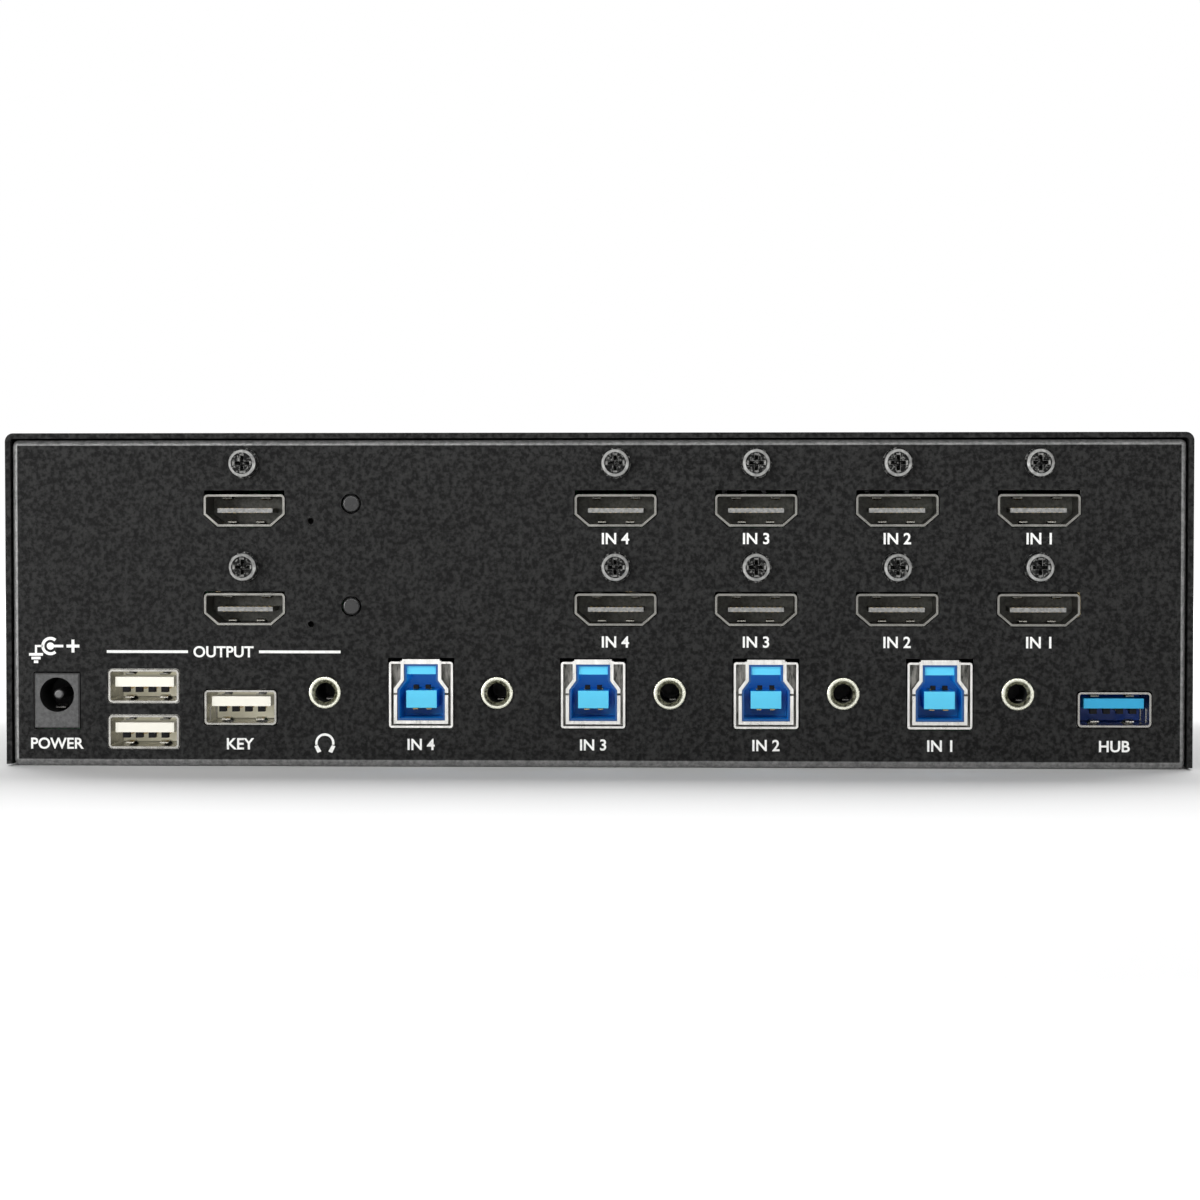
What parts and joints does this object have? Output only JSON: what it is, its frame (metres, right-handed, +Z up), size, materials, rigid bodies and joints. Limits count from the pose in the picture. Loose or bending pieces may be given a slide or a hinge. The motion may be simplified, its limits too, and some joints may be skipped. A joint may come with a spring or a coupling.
{
  "type": "kvm switch",
  "caption": "Desktop switch box that shares two displays, a keyboard, a mouse and audio between computers, with rows of video, USB and audio sockets on its rear panel.",
  "frame": {"origin": "middle of the footprint, on the underside of the bottom plate", "axes": "+Z up; the connector panel faces -Y and the control panel faces +Y; +X is to the right seen from the connector side"},
  "size_m": [0.218, 0.134, 0.0615],
  "materials": {
    "black_powder_coat": "fine-textured black powder coat on steel sheet",
    "black_screw": "black-plated steel with worn bright edges",
    "overlay_film": "satin black polycarbonate film",
    "nickel_shell": "nickel-plated stamped steel",
    "zinc_nut": "zinc-plated steel",
    "hdmi_plastic": "dark moulded contact block",
    "blue_plastic": "saturated blue moulded plastic",
    "white_plastic": "off-white moulded plastic",
    "black_plastic": "black moulded plastic",
    "jack_nickel": "pale nickel plating",
    "lamp_lens": "unlit smoked lens",
    "plunger_plastic": "light grey moulded plastic",
    "button_plastic": "dark grey moulded plastic, satin",
    "circuit_board": "green solder-masked fibreglass board",
    "brass_spacer": "machined brass",
    "ribbon_grey": "grey flat ribbon",
    "heat_sink_aluminium": "bead-blasted aluminium"
  },
  "bodies": {
    "switch_box": {"audio_jack_1": "black_plastic", "audio_jack_2": "black_plastic", "audio_jack_3": "black_plastic", "audio_jack_4": "black_plastic", "audio_jack_console": "black_plastic", "audio_jack_rings": "jack_nickel", "board_link_plugs": "black_plastic", "board_link_sockets": "black_plastic", "board_screws": "zinc_nut", "board_standoffs": "brass_spacer", "buzzer": "black_plastic", "capacitors": "heat_sink_aluminium", "chassis": "black_powder_coat", "control_board": "circuit_board", "cover_screws": "black_screw", "dc_jack_housing": "black_plastic", "dc_jack_pin": "jack_nickel", "front_light_pipes": "lamp_lens", "front_overlay": "overlay_film", "hdmi_in_1_lower": "nickel_shell", "hdmi_in_1_upper": "nickel_shell", "hdmi_in_2_lower": "nickel_shell", "hdmi_in_2_upper": "nickel_shell", "hdmi_in_3_lower": "nickel_shell", "hdmi_in_3_upper": "nickel_shell", "hdmi_in_4_lower": "nickel_shell", "hdmi_in_4_upper": "nickel_shell", "hdmi_lock_nuts": "zinc_nut", "hdmi_lock_screws": "black_screw", "hdmi_out_lower": "nickel_shell", "hdmi_out_upper": "nickel_shell", "hdmi_tongues": "hdmi_plastic", "heat_sinks": "heat_sink_aluminium", "integrated_circuits": "black_plastic", "lower_video_board": "circuit_board", "main_board": "circuit_board", "power_inductors": "black_plastic", "rear_lamps": "lamp_lens", "ribbon_cable": "ribbon_grey", "ribbon_headers": "black_plastic", "switch_bodies": "black_plastic", "top_cover": "black_powder_coat", "upper_video_board": "circuit_board", "usb_a_blue_tongues": "blue_plastic", "usb_a_console_shell": "nickel_shell", "usb_a_front_shell": "nickel_shell", "usb_a_hub_shell": "nickel_shell", "usb_a_keyboard_shell": "nickel_shell", "usb_a_white_tongues": "white_plastic", "usb_b_inserts": "blue_plastic", "usb_b_shell_1": "nickel_shell", "usb_b_shell_2": "nickel_shell", "usb_b_shell_3": "nickel_shell", "usb_b_shell_4": "nickel_shell"},
    "button_1": {"select_button_1": "button_plastic"},
    "button_2": {"select_button_2": "button_plastic"},
    "button_3": {"select_button_3": "button_plastic"},
    "button_4": {"select_button_4": "button_plastic"},
    "plunger_upper": {"reset_plunger_upper": "plunger_plastic"},
    "plunger_lower": {"reset_plunger_lower": "plunger_plastic"}
  },
  "joints": [
    {"name": "button_1_press", "type": "slide", "parent": "switch_box", "child": "button_1", "axis": [0, -1, 0], "range_m": [0, 0.0005], "stiffness_N_per_m": 1000},
    {"name": "button_2_press", "type": "slide", "parent": "switch_box", "child": "button_2", "axis": [0, -1, 0], "range_m": [0, 0.0005], "stiffness_N_per_m": 1000},
    {"name": "button_3_press", "type": "slide", "parent": "switch_box", "child": "button_3", "axis": [0, -1, 0], "range_m": [0, 0.0005], "stiffness_N_per_m": 1000},
    {"name": "button_4_press", "type": "slide", "parent": "switch_box", "child": "button_4", "axis": [0, -1, 0], "range_m": [0, 0.0005], "stiffness_N_per_m": 1000},
    {"name": "plunger_upper_press", "type": "slide", "parent": "switch_box", "child": "plunger_upper", "axis": [0, 1, 0], "range_m": [0, 0.00025], "stiffness_N_per_m": 1000},
    {"name": "plunger_lower_press", "type": "slide", "parent": "switch_box", "child": "plunger_lower", "axis": [0, 1, 0], "range_m": [0, 0.00025], "stiffness_N_per_m": 1000}
  ]
}
